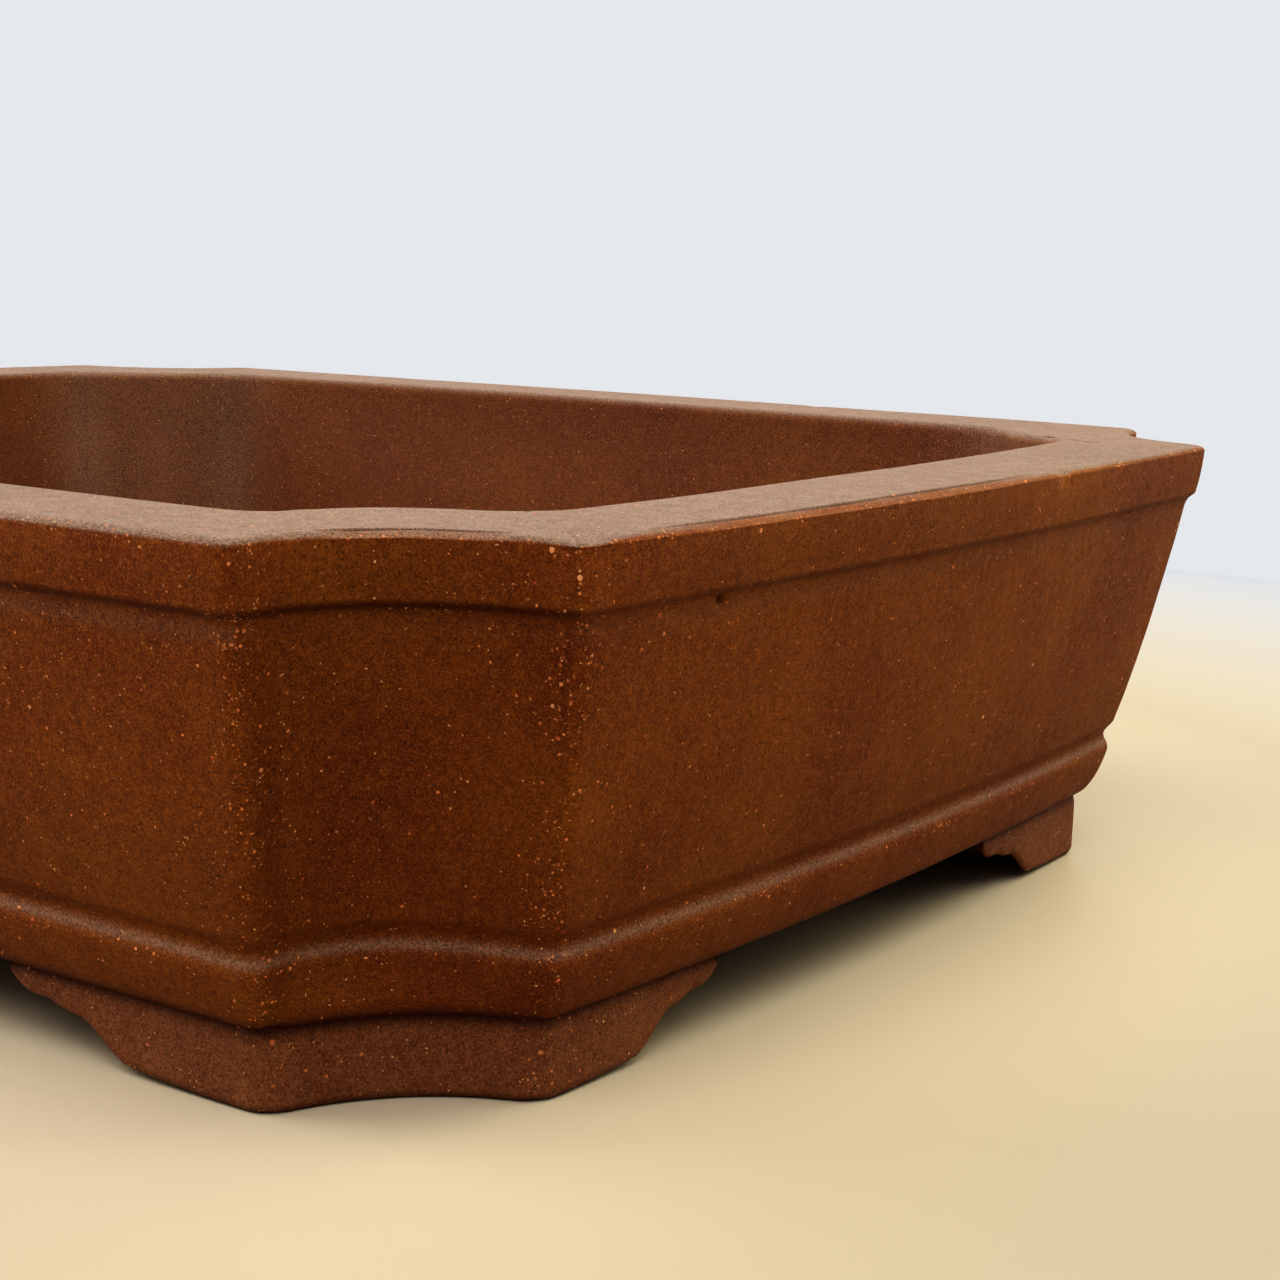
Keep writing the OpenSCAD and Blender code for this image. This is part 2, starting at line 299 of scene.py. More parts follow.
def rim_section():
    top, ease = pot_h, rim_ease
    low_face = rim_z + rim_under * math.sin(under_turn)
    inner_z = np.linspace(rim_z, top - ease, 8)[:-1]

    def inner_edge(u):
        a = math.pi / 2 * u
        return (rim_b - ease * (1 - math.cos(a)), top - ease * (1 - math.sin(a)))

    def outer_edge(u):
        a = math.pi / 2 * u
        return (ease * (1 - math.sin(a)), top - rim_drop * (1 - math.cos(a)))

    def face(u):
        z = top - rim_drop - u * (top - rim_drop - low_face)
        return (rim_lean * ((top - z) / (top - low_face)) ** 2, z)

    def lower_edge(u):
        a = under_turn * u
        return (rim_lean + rim_under * (1 - math.cos(a)), low_face - rim_under * math.sin(a))

    by_groove = ease + 1.1 * MM
    return Section(
        ("skin", np.stack([inner_face_in(inner_z), inner_z], axis=1)),
        ("skin", curve(inner_edge, 5)),
        ("skin", line((rim_b - ease, top), (by_groove, top), 1.3 * MM, 0.35 * MM)),
        ("skin", line((by_groove, top), (ease, top), 0.12 * MM)),
        ("skin", curve(outer_edge, 8)),
        ("skin", curve(face, 13)),
        ("skin", curve(lower_edge, 9)),
        ("joint", line((crease_in, rim_z), (inner_face_in(rim_z), rim_z), 6 * MM)))


def wall_face_in(z):
    """Inset of the outer face: filleted under the rim, drawn in softly over the belt."""
    fall = (rim_z - z) / (rim_z - belt_top_z)
    plain = wall_step + (belt_in - wall_step) * fall - 4 * wall_swell * fall * (1 - fall)
    fillet = (wall_step - crease_in) * np.clip(1 - (rim_z - z) / fillet_reach, 0, 1) ** 2
    return plain - fillet + smooth(cove_reach, 0, z - belt_top_z) * (quirk_in - plain)


def wall_section():
    heights = rim_z - graded(rim_z - belt_top_z, 0.2 * MM, 1.3 * MM, 8 * MM)
    inner_z = np.append(np.arange(floor_z + inner_cove, rim_z - MM, 2 * MM), rim_z)

    def cove(u):
        a = math.pi / 2 * u
        return (inner_in + inner_cove * (1 - math.sin(a)),
                floor_z + inner_cove * (1 - math.cos(a)))

    return Section(
        ("joint", line((slab_in, floor_z), (inner_in + inner_cove, floor_z), 6 * MM)),
        ("skin", curve(cove, 6)),
        ("skin", np.stack([inner_face_in(inner_z), inner_z], axis=1)[:-1]),
        ("joint", line((inner_face_in(rim_z), rim_z), (crease_in, rim_z), 6 * MM)),
        ("skin", np.stack([wall_face_in(heights), heights], axis=1)[:-1]),
        ("joint", line((quirk_in, belt_top_z), (slab_in, belt_top_z), 3 * MM)),
        ("joint", line((slab_in, belt_top_z), (slab_in, floor_z), 3 * MM)))


def belt_section():
    drop = belt_max_z - belt_z
    curl = belt_out - belt_slope * drop

    def shoulder(u):
        down, left = belt_top * u, belt_top * (1 - u)
        if down < cove_drop:
            inset = quirk_in - cove_slope / (2 * cove_drop) * down ** 2
        else:
            inset = belt_in + cove_slope / (2 * (belt_top - cove_drop)) * left ** 2
        return (inset, belt_top_z - down)

    def face(u):
        a = math.pi / 2 * u
        down = drop * math.sin(a)
        return (belt_in + belt_slope * down + curl * (1 - math.cos(a)), belt_max_z - down)

    return Section(
        ("joint", line((slab_in, belt_z), (slab_in, belt_top_z), 4 * MM)),
        ("joint", line((slab_in, belt_top_z), (quirk_in, belt_top_z), 3 * MM)),
        ("skin", curve(shoulder, 14)),
        ("skin", curve(face, 20)),
        ("joint", line((foot_in, belt_z), (slab_in, belt_z), 3 * MM)))


# ---- Hand-worked surface ----

scrape_in, scrape_half, scrape_depth = 0.9 * MM, 0.35 * MM, 0.1 * MM


def waves(points, size, shift=0.0):
    """Smooth noise from -1 to 1 whose features are about size across."""
    flat = (points / size + shift).reshape(-1, 3)
    return np.array([noise.noise(Vector(p)) for p in flat]).reshape(points.shape[:-1])


def hand_relief(points, upward=0.0):
    """How far the worked clay lies under its ideal surface; flat tops are smoother."""
    slow = 0.16 * MM * (1 + waves(points, 50 * MM))
    middle = 0.07 * MM * (1 + waves(points, 15 * MM, 5.3))
    quick = 0.035 * MM * (1 + waves(points, 4 * MM, 9.1))
    return slow + (middle + quick) * (1 - 0.8 * np.maximum(upward, 0))


def pit_relief(points):
    depth = np.zeros(points.shape[:-1])
    for run, t, inset, z, radius, deep in PITS:
        place = at(run, t, inset, z)
        depth += deep * bell(np.linalg.norm(points - place, axis=-1), radius)
    return depth


def scrape(run, t, z):
    """A fine tool line down the front right facet, which drifts away from its far edge."""
    if run != FRONT_RIGHT:
        return 0 * t * z
    drift = scrape_in * (1 + (rim_z - z) / rim_z)
    beside = (1 - t) * run_length(run) - drift
    height = smooth(rim_z - 24 * MM, rim_z - 15 * MM, z)
    return bell(beside, scrape_half) * height


# Stretches of the rim where the outer edge is a cut chamfer behind a fine groove
CHAMFERS = {
    FRONT_RIGHT: (0.2, 0.85),
    RIGHT: (0.04, 0.62),
    BACK: (0.55, 0.8),
    LEFT: (0.2, 0.5),
    FRONT: (0.25, 0.45),
}
groove_in, groove_half, groove_depth = rim_ease + 0.35 * MM, 0.27 * MM, 0.6 * MM
bevel_start, bevel_end = 0.12 * MM, bevel_drop - 0.05 * MM

# Less than any distance between two rows of the rim
hair = 1e-6

# How much broader than its plan the rim's top is at the two ends of a run
BROADER = {FRONT_RIGHT: (0.5 * MM, 0.5 * MM), RIGHT: (0.5 * MM, 3 * MM),
           BACK_RIGHT: (3 * MM, 0), FRONT: (0, 0.5 * MM)}


def chamfered(run, t):
    """How much of the chamfer shows at t on a run, from 0 to 1."""
    if run not in CHAMFERS:
        return 0 * t
    start, end = CHAMFERS[run]
    fade = min(18 * MM / run_length(run), 0.15)
    along = t * run_length(run) / (7 * MM)
    ragged = [0.85 + 0.35 * noise.noise(Vector((x, run, 0.5))) for x in along.ravel()]
    return (smooth(start, start + fade, t) * (1 - smooth(end - fade, end, t))
            * np.reshape(ragged, t.shape))


def chamfer_shift(run, t, rows):
    """Shift of the rim's rows, in inset and height: its chamfers and its uneven breadth."""
    inset, z = rows[:, 0], rows[:, 1]
    on_edge = (z >= pot_h - rim_drop - hair) & (inset <= rim_ease + hair)
    down = np.where(on_edge, (1 - inset / rim_ease), 0)
    straight = pot_h - bevel_start - bevel_end * down
    fall = np.where(on_edge, np.minimum(straight - z, 0), 0)
    fall -= groove_depth * bell(inset - groove_in, groove_half) * (z > pot_h - hair)
    weight = chamfered(run, t)
    broader = BROADER.get(run, (0, 0))
    inner = smooth(rim_b / 2, rim_b, inset)
    return inner * (broader[0] * (1 - t) + broader[1] * t), weight * np.minimum(fall, 0)


def ring_points(section, shift=None):
    """The eight runs of a section as one grid of points, and each run's columns."""
    grids, spans, first = [], [], 0
    for run in range(8):
        t = columns(run)[:, None]
        inset = section.rows[:, 0] + 0 * t
        z = section.rows[:, 1] + 0 * t
        if shift:
            moved = shift(run, t, section.rows)
            inset, z = inset + moved[0], z + moved[1]
        ideal = at(run, t, inset, z)
        relief = hand_relief(ideal, section.facing[:, 1]) + pit_relief(ideal)
        relief += scrape_depth * scrape(run, t, z)
        inset = inset - section.facing[:, 0] * relief
        z = z - section.facing[:, 1] * relief
        grid = at(run, t, inset, z)
        grids.append(grid[:-1])
        spans.append((first, first + len(t)))
        first += len(t) - 1
    return np.concatenate(grids), spans


def grid_normals(grid, seen, closed):
    """Normals of a grid of points, smooth over the skin and across the runs."""
    if not closed:
        grid = np.concatenate([2 * grid[:1] - grid[1:2], grid, 2 * grid[-1:] - grid[-2:-1]])
    b = np.roll(grid, -1, axis=1)
    d = np.roll(grid, -1, axis=0)
    c = np.roll(b, -1, axis=0)
    face = np.cross(c - grid, d - b)
    face /= np.maximum(np.linalg.norm(face, axis=-1), 1e-12)[..., None]

    def gathered(faces):
        both = faces + np.roll(faces, 1, axis=1)
        return both + np.roll(both, 1, axis=0)

    skin = gathered(face * seen[:, None])
    normal = np.where(np.linalg.norm(skin, axis=-1)[..., None] > 1e-6, skin, gathered(face))
    normal /= np.maximum(np.linalg.norm(normal, axis=-1), 1e-12)[..., None]
    return normal if closed else normal[1:-1]


# ---- Meshes ----

def add_masks(mesh, masks):
    """Stores the masks that the clay reads.

    edge brings out grains, and thins them where it is negative. The darkening mask paints shade
    into creases, pits, a tool line and parts of the inside, and gives some faces a darker tone;
    the pale mask is pale dust with painted highlight and sheen on the rim top, the shoulder and
    the inside.
    """
    for mask, values in masks.items():
        layer = mesh.attributes.new(mask, "FLOAT", "POINT")
        layer.data.foreach_set("value", np.ascontiguousarray(values, "f").ravel())


def skin_mesh(name, grid, normals, masks):
    """A closed mesh over a grid: columns across, rows round, a flat cap at each end."""
    n, m = grid.shape[:2]
    index = np.arange(n * m).reshape(n, m)
    a, d = index[:-1], index[1:]
    b, c = np.roll(a, -1, axis=1), np.roll(d, -1, axis=1)
    quads = np.stack([a, b, c, d], axis=-1).reshape(-1, 4).tolist()
    caps = [index[0, ::-1].tolist(), index[-1].tolist()]
    mesh = bpy.data.meshes.new(name)
    mesh.from_pydata(grid.reshape(-1, 3).tolist(), [], quads + caps)
    mesh.polygons.foreach_set("use_smooth", [True] * len(mesh.polygons))
    add_masks(mesh, masks)
    corner = np.empty(len(mesh.loops), int)
    mesh.loops.foreach_get("vertex_index", corner)
    split = normals.reshape(-1, 3)[corner]
    for face in mesh.polygons[-2:]:
        split[face.loop_start:face.loop_start + face.loop_total] = face.normal
    mesh.normals_split_custom_set(split.tolist())
    return mesh


def place(name, mesh, node, slot, material):
    """Makes a piece that stands for one CAD node."""
    piece = bpy.data.objects.new(name, mesh)
    bpy.context.scene.collection.objects.link(piece)
    piece.data.materials.append(material)
    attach(piece, "root")
    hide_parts(node)
    return piece


def from_ends(run, t):
    """Distance along a run to the nearer of its two ends."""
    return np.minimum(t, 1 - t) * run_length(run)


def edge_mask(run, t):
    """1 on the standing edges at both ends of a run, fading along it."""
    return bell(from_ends(run, t), 2.9 * MM)


# The edge mask inside the pot, where grains are few
inside_edge = -0.11

# How strong these are on each run, from FRONT to FRONT_LEFT: painted shade in the creases, haze
# on the wall under the rim, a darker tone on the outer faces, and painted shade low on the walls
# and inside
# Painted shade in the creases under the rim and over the feet
CREASE_SHADES = [1, 1, 0.4, 0.6, 0.6, 0.6, 0.6, 0.8]
HAZES = [0.19, 0.04, 0.07, 0.1, 0.15, 0.1, 0.15, 0.1]
OUTER_DARKENING = [0, 0.18, 0, 0, 0.05, 0.1, 0.05, 0.1]
# Painted shade low on the outer walls
LOW_WALL_SHADES = [0.25, 0.1, 0.2, 0, 0.05, 0.05, 0.05, 0.05]
# Painted shade on the inner sides, away from their corners
INNER_SHADES = [0.15, 0, 0.1, 0, 0.28, 0, 0.48, 0]


def inner_masks(run, t):
    """Pale dust and painted light, and painted shade, of the inside: the facets lightened, most
    on their two ridges as a painted highlight, and the sides darker away from the corners as
    painted shade.
    """
    near = from_ends(run, t)
    if is_side(run):
        corner = bell(near, 16 * MM)
        # The sides: paler towards the corners, and darker away from them as painted shade
        return 0.18 + 0.32 * corner, INNER_SHADES[run] * (1 - corner)
    # The facets: pale dust and painted light, most on the ridges at their ends as a painted
    # highlight
    return 0.4 + 0.1 * bell(near, 5 * MM), 0 * t


def rim_masks(run, t, rows):
    """A pale top of dust with a painted sheen, grains on its crisp outer edge, painted shade in
    the groove and under the rim, and a strip where it is cut that has no sheen and some painted
    shade.
    """
    inset, z = rows[:, 0], rows[:, 1]
    face = smooth(pot_h - 0.2 * MM, pot_h - 1.2 * MM, z) * (inset < rim_b / 2)
    arris = bell(inset - 0.3 * MM, 0.7 * MM) * (z > pot_h - 1.3 * MM)
    # Painted shade in the groove
    groove_shade = 1.1 * bell(inset - groove_in, 0.33 * MM) * (z > pot_h - hair)
    inside = smooth(rim_b - 2 * MM, rim_b - 0.5 * MM, inset) * smooth(pot_h, pot_h - MM, z)
    soft = {RIGHT: 0.45 * MM, FRONT: 1.3 * MM}.get(run, MM)
    strip = chamfered(run, t) * smooth(groove_in + 0.1 * MM, groove_in - 0.3 * MM, inset)
    # The cut strip loses the painted sheen and takes some painted shade
    strip = strip * (0.85 if run == RIGHT else 0.25)
    dust, inner_shade = inner_masks(run, t)
    # Painted shade along the rim's lower edge
    shade_under_rim_edge = bell(z - rim_z, 0.7 * MM) * (inset < rim_b / 2) * CREASE_SHADES[run]
    return {
        "edge": np.maximum(edge_mask(run, t) * face, 0.5 * arris) + inside_edge * inside,
        "cavity": np.maximum(chamfered(run, t) * groove_shade, 0.7 * shade_under_rim_edge)
                  + OUTER_DARKENING[run] * face + inner_shade * inside + 0.2 * strip,
        # The top: pale dust with a painted sheen; the inside: dust with painted light
        "bloom": 0.8 * smooth(pot_h - soft, pot_h - 0.3 * soft, z) * (1 - strip) + dust * inside,
    }


def wall_masks(run, t, rows):
    """Painted shade in the crease under the rim and in the scraped line, a haze below the rim, a
    darker tone on some faces and painted shade lower down, and the inside's pale dust, painted
    light and painted shade.
    """
    inset, z = rows[:, 0], rows[:, 1]
    outside = inset < slab_in - MM
    # Painted shade in the crease under the rim
    shade_under_rim = outside * bell(rim_z - z, 0.6 * MM) * CREASE_SHADES[run]
    haze = outside * bell(rim_z - 2.1 * MM - z, 1.3 * MM) * HAZES[run]
    inside = 1 - outside
    dust, inner_shade = inner_masks(run, t)
    # Painted shade lower down the outer wall
    low = outside * smooth(rim_z - 20 * MM, belt_top_z, z) * LOW_WALL_SHADES[run]
    return {
        "edge": edge_mask(run, t) * outside + inside_edge * inside,
        # Painted shade in the crease, the scraped line, low down and inside, and a darker tone on
        # some faces
        "cavity": np.maximum(0.7 * shade_under_rim, 0.25 * outside * scrape(run, t, z))
                  + OUTER_DARKENING[run] * outside + low + inner_shade * inside,
        "bloom": haze + dust * inside,
    }


def belt_masks(run, t, rows):
    """Pale dust and a painted highlight on the shoulder, a darker face below it, and painted
    shade in the crease over the feet.
    """
    z = rows[:, 1]
    # Painted highlight, with pale dust, on the shoulder
    shoulder = bell(z - belt_top_z + cove_drop, 0.75 * MM)
    # Painted shade in the crease over the feet
    low = 0.85 * bell(z - belt_z, 1.2 * MM) * CREASE_SHADES[run]
    return {
        "edge": np.maximum(edge_mask(run, t), 0.35 * bell(z - belt_max_z, MM)),
        "cavity": low + (0.18 + OUTER_DARKENING[run]) * (1 - shoulder) + 0 * t,
        "bloom": 0.5 * shoulder + 0 * t,
    }


def pit_mask(points):
    """1 in the small pits, which it darkens as painted shade."""
    depth = np.zeros(points.shape[:-1])
    for run, t, inset, z, radius, deep in PITS:
        if radius < small_pit:
            place = at(run, t, inset, z)
            depth += 1.5 * bell(np.linalg.norm(points - place, axis=-1), 0.6 * radius)
    return np.minimum(depth, 1)


def ring_pieces(prefix, corner_prefix, section, masks, material, shift=None):
    """One closed piece for each of the eight runs of a section."""
    ring, spans = ring_points(section, shift)
    normals = grid_normals(ring, section.seen, closed=True)
    for run, (first, last) in enumerate(spans):
        span = np.arange(first, last) % len(ring)
        node = (prefix if is_side(run) else corner_prefix) + "_" + RUNS[run]
        t = columns(run)[:, None]
        layers = masks(run, t, section.rows)
        layers["cavity"] = np.maximum(layers["cavity"], pit_mask(ring[span]))
        mesh = skin_mesh(node + "_clay", ring[span], normals[span], layers)
        place(node + "_clay", mesh, node, "clay", material)


# ---- Feet ----

# Where the parts of a foot's underside end, as fractions of its arm, and how high
tread_end, ogee_end, lobe_start, lobe_end = 0.5, 0.73, 0.89, 0.9985
tread_rise, ogee_rise, lobe_rise = 0.9 * MM, 6.0 * MM, 7.2 * MM

# How much longer than planned the two arms of a foot are
STRAYED_ARMS = {BACK_RIGHT: (6 * MM, 3 * MM)}


def underside(s, arm):
    """Height of the underside of a foot at s from the corner: tread, ogee, step, lobe."""
    u = s / arm
    tread = tread_rise * np.minimum(u / tread_end, 1) ** 2
    ogee = (ogee_rise - tread_rise) * smooth(tread_end, ogee_end, u)
    step = (lobe_rise - ogee_rise) * smooth(ogee_end + 0.01, lobe_start - 0.03, u)
    round_end = np.clip((u - lobe_start) / (1 - lobe_start), 0, 1)
    lobe = (foot_h - lobe_rise) * (1 - np.sqrt(np.maximum(1 - round_end ** 2, 0)))
    return tread + ogee + step + lobe


def arm_stations(arm):
    """Distances from the corner along an arm, closer together where it curves."""
    end = arm * lobe_end
    along = np.concatenate([
        graded(tread_end * arm, 0.45 * MM, 1.2 * MM, 10 * MM),
        tread_end * arm + graded((lobe_start - tread_end) * arm, 0.8 * MM, 0.8 * MM, MM)[1:]])
    sweep = np.linspace(0, 1, 14)[1:]
    lobe = lobe_start * arm + (end - lobe_start * arm) * np.sin(math.pi / 2 * sweep)
    return np.concatenate([along, lobe])


def foot_rows(z):
    """Insets and heights of a foot's outline over an underside at height z.

    It goes down the face, round the lower edge, across the base, up the back, and over the
    top, which is hidden under the belt. The face draws in a little just below the belt.
    """
    a = np.linspace(0, math.pi / 2, 8)
    r = np.minimum(foot_ease, (foot_h - z) / 2)[:, None]
    z = z[:, None]
    back, face = foot_in + foot_b, foot_in
    edge_in, edge_z = face + r * (1 - np.cos(a)), z + r * (1 - np.sin(a))
    face_u = np.linspace(0, 1, 10)[:-1]
    top_in = np.linspace(back, face, 4)[:-1]
    base_u = np.linspace(0, 1, 8)[1:]
    rise_u = np.linspace(0, 1, 5)[1:-1]
    insets = [face + 0 * z * face_u, edge_in,
              face + r + (back - face - r) * base_u, back + 0 * z * rise_u, top_in + 0 * z]
    heights = [foot_h + (edge_z[:, :1] - foot_h) * face_u, edge_z,
               z + 0 * base_u, z + (foot_h - z) * rise_u, foot_h + 0 * z * top_in]
    insets[0] = insets[0] + 0.5 * MM * bell(foot_h - heights[0], 0.9 * MM)
    seen = np.concatenate([np.full(part.shape[1], k < 4) for k, part in enumerate(insets)])
    return np.concatenate(insets, axis=1), np.concatenate(heights, axis=1), seen


def foot_side(run, s, towards_end):
    """Fractions on a side run at distances s from one of its corners."""
    t = s / (run_length(run) - 2 * foot_in * mitre)
    return 1 - t if towards_end else t


def foot_piece(run, material):
    before, after = (run + 7) % 8, (run + 1) % 8
    arms = [arm_long if side in (FRONT, BACK) else arm_short for side in (before, after)]
    arms = [arm + stray for arm, stray in zip(arms, STRAYED_ARMS.get(run, (0, 0)))]
    inbound, outbound = (arm_stations(arm) for arm in arms)
    corner_t = columns(run)
    parts = [
        (before, foot_side(before, inbound[::-1], True), underside(inbound[::-1], arms[0])),
        (run, corner_t[1:-1], 0 * corner_t[1:-1]),
        (after, foot_side(after, outbound, False), underside(outbound, arms[1]))]
    grids, edges = [], []
    for side, t, z in parts:
        inset, height, seen = foot_rows(z)
        t = t[:, None]
        ideal = at(side, t, inset, height)
        relief = hand_relief(ideal) + pit_relief(ideal)
        relief += 0.12 * MM * (1 + waves(ideal, 6 * MM, 2.2))
        outer = np.clip(1 - (inset - foot_in) / foot_ease, 0, 1)
        grids.append(at(side, t, inset + relief * outer, height))
        edges.append(edge_mask(side, t) + 0 * inset)
    grid = np.concatenate(grids)
    normals = grid_normals(grid, seen, closed=False)
    height = grid[..., 2]
    masks = {
        "edge": 0.6 * np.concatenate(edges),
        # Painted shade under the belt, a painted contact shadow at the floor, and a darker tone
        # all over
        "cavity": 0.85 * bell(foot_h - height, 1.1 * MM) + 0.5 * bell(height, 0.7 * MM) + 0.22,
        "bloom": 0 * height}
    node = "foot_" + RUNS[run]
    place(node + "_clay", skin_mesh(node + "_clay", grid, normals, masks),
          node, "foot_clay", material)


# ---- Floor slab ----

drain_x, drain_r = 70 * MM, 13 * MM
tie_x, tie_y, tie_r = 100 * MM, 55 * MM, 2.5 * MM
hole_ease = 1.2 * MM
slice_gap = 5 * MM

# The slab's top sags inside the walls, and under them it rises a hair, to close the joint
slab_sag, sag_reach, slab_lap = 0.2 * MM, 25 * MM, 0.05 * MM


def closed_spline(curve_data, points):
    spline = curve_data.splines.new("POLY")
    spline.points.add(len(points) - 1)
    for point, (x, y) in zip(spline.points, points):
        point.co = (x, y, 0, 1)
    spline.use_cyclic_u = True


def circle(x, y, r, steps):
    turn = np.arange(steps) * 2 * math.pi / steps
    return np.stack([x + r * np.cos(turn), y + r * np.sin(turn)], axis=1)


def from_walls(x, y):
    """0 on the floor at the foot of the walls, rising to 1 further in."""
    facet = (half_l + half_w - corner_cut - x - y) / math.sqrt(2) - hollow
    inset = min(half_l - x, half_w - y, facet)
    wall_foot = inner_in + inner_cove
    return float(smooth(wall_foot, wall_foot + sag_reach, inset))


def slab_curve():
    """The slab's outline and holes as one filled curve with eased edges."""
    outline = np.concatenate([at(run, columns(run)[:-1:3], slab_in, 0)[:, :2]
                              for run in range(8)])
    centre = (outline.max(axis=0) + outline.min(axis=0)) / 2
    outline = centre + (outline - centre) * (1 - hole_ease / half_w)
    data = bpy.data.curves.new("floor_outline", "CURVE")
    data.dimensions = "2D"
    data.fill_mode = "BOTH"
    data.extrude = (floor_z - foot_h) / 2 - hole_ease
    data.bevel_depth = hole_ease
    data.bevel_resolution = 3
    closed_spline(data, outline)
    for x in (-drain_x, drain_x):
        closed_spline(data, circle(x, 0, drain_r + hole_ease, 72))
    for x in (-tie_x, tie_x):
        for y in (-tie_y, tie_y):
            closed_spline(data, circle(x, y, tie_r + hole_ease, 32))
    return data


def floor_piece(material):
    """The slab, sliced both ways so that its top can sag a little."""
    carrier = bpy.data.objects.new("floor_outline", slab_curve())
    bpy.context.scene.collection.objects.link(carrier)
    bpy.context.view_layer.update()
    mesh = bpy.data.meshes.new_from_object(carrier)
    bpy.data.objects.remove(carrier)
    mesh.transform(Matrix.Translation((0, 0, (floor_z + foot_h) / 2)))
    form = bmesh.new()
    form.from_mesh(mesh)
    bmesh.ops.remove_doubles(form, verts=form.verts, dist=0.01 * MM)
    for axis, reach in ((0, half_l - slab_in), (1, half_w - slab_in)):
        for cut in np.arange(-reach, reach, slice_gap):
            normal = Vector((axis == 0, axis == 1, 0))
            bmesh.ops.bisect_plane(form, geom=form.verts[:] + form.edges[:] + form.faces[:],
                                   plane_co=normal * float(cut), plane_no=normal)
    bmesh.ops.recalc_face_normals(form, faces=form.faces)
    for vert in form.verts:
        if vert.co.z > floor_z - 0.1 * MM:
            sag = slab_sag * (1 + noise.noise(vert.co / (30 * MM)))
            within = from_walls(abs(vert.co.x), abs(vert.co.y))
            vert.co.z += slab_lap * (1 - within) - sag * within
    form.to_mesh(mesh)
    form.free()
    mesh.shade_smooth()
    mesh.set_sharp_from_angle(angle=math.radians(40))
    even = np.ones(len(mesh.vertices))
    add_masks(mesh, {"edge": inside_edge * even, "cavity": 0.25 * even, "bloom": 0.25 * even})
    place("floor_clay", mesh, "floor", "clay", material)


# ---- Drainage screens and clips ----

pitch, strand, openings = 3.8 * MM, 1 * MM, 12
wire_r, wire_facets = 0.8 * MM, 14


def grille(low, high):
    """Square bars both ways between two corners of a box, as one closed form."""
    lines = []
    for k in range(openings + 1):
        lines += [k * pitch, k * pitch + strand]
    form = bmesh.new()
    corner = {}
    for level, z in enumerate((low[2], high[2])):
        for i, x in enumerate(lines):
            for j, y in enumerate(lines):
                corner[i, j, level] = form.verts.new((low[0] + x, low[1] + y, z))

    def solid_cell(i, j):
        inside = 0 <= i < len(lines) - 1 and 0 <= j < len(lines) - 1
        return inside and (i % 2 == 0 or j % 2 == 0)

    for i in range(len(lines) - 1):
        for j in range(len(lines) - 1):
            if not solid_cell(i, j):
                continue
            loop = [(i, j), (i + 1, j), (i + 1, j + 1), (i, j + 1)]
            form.faces.new([corner[p, q, 1] for p, q in loop])
            form.faces.new([corner[p, q, 0] for p, q in reversed(loop)])
            beside = [(i, j - 1), (i + 1, j), (i, j + 1), (i - 1, j)]
            for k, (p, q) in enumerate(beside):
                if not solid_cell(p, q):
                    a, b = loop[k], loop[(k + 1) % 4]
                    form.faces.new([corner[(*a, 0)], corner[(*b, 0)],
                                    corner[(*b, 1)], corner[(*a, 1)]])
    return form


def screen_piece(side, material):
    """A moulded screen: a grille that subdivision rounds, fuller where its bars cross."""
    node = "screen_" + side
    form = grille(*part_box(node))
    mesh = bpy.data.meshes.new(node + "_grille")
    form.to_mesh(mesh)
    form.free()
    mesh.shade_smooth()
    piece = place(node + "_grille", mesh, node, "screen", material)
    rounding = piece.modifiers.new("rounding", "SUBSURF")
    rounding.levels = rounding.render_levels = 1


def clip_route():
    """Centre line of a clip over its drain: foot, leg, outward run, loop and back again."""
    leg_x, leg_y, reach = 2.5 * pitch, pitch / 2, 9 * MM
    top_z = floor_z + strand + wire_r
    low_z = foot_h - wire_r
    low_bend, top_bend, loop_r = 3 * wire_r, 1.6 * wire_r, pitch
    loop_x = 3.6 * pitch
    quarter = np.linspace(0, math.pi / 2, 9)[:, None]

    def bend(corner, u, v, r):
        return corner - r * (1 - np.sin(quarter)) * u + r * (1 - np.cos(quarter)) * v

    x, z = np.array([1, 0, 0]), np.array([0, 0, 1])
    turn = np.linspace(math.pi / 2, -math.pi / 2, 17)
    loop = np.stack([loop_x + loop_r * np.cos(turn), leg_y - loop_r + loop_r * np.sin(turn),
                     top_z + 0 * turn], axis=1)
    half = np.concatenate([
        [[leg_x + reach, leg_y, low_z], [leg_x + reach - 0.3 * MM, leg_y, low_z],
         [leg_x + reach / 2, leg_y, low_z]],
        bend(np.array([leg_x, leg_y, low_z]), -x, z, low_bend),
        bend(np.array([leg_x, leg_y, top_z]), z, x, top_bend),
        loop])
    return np.concatenate([half, half[::-1] * (-1, -1, 1)])


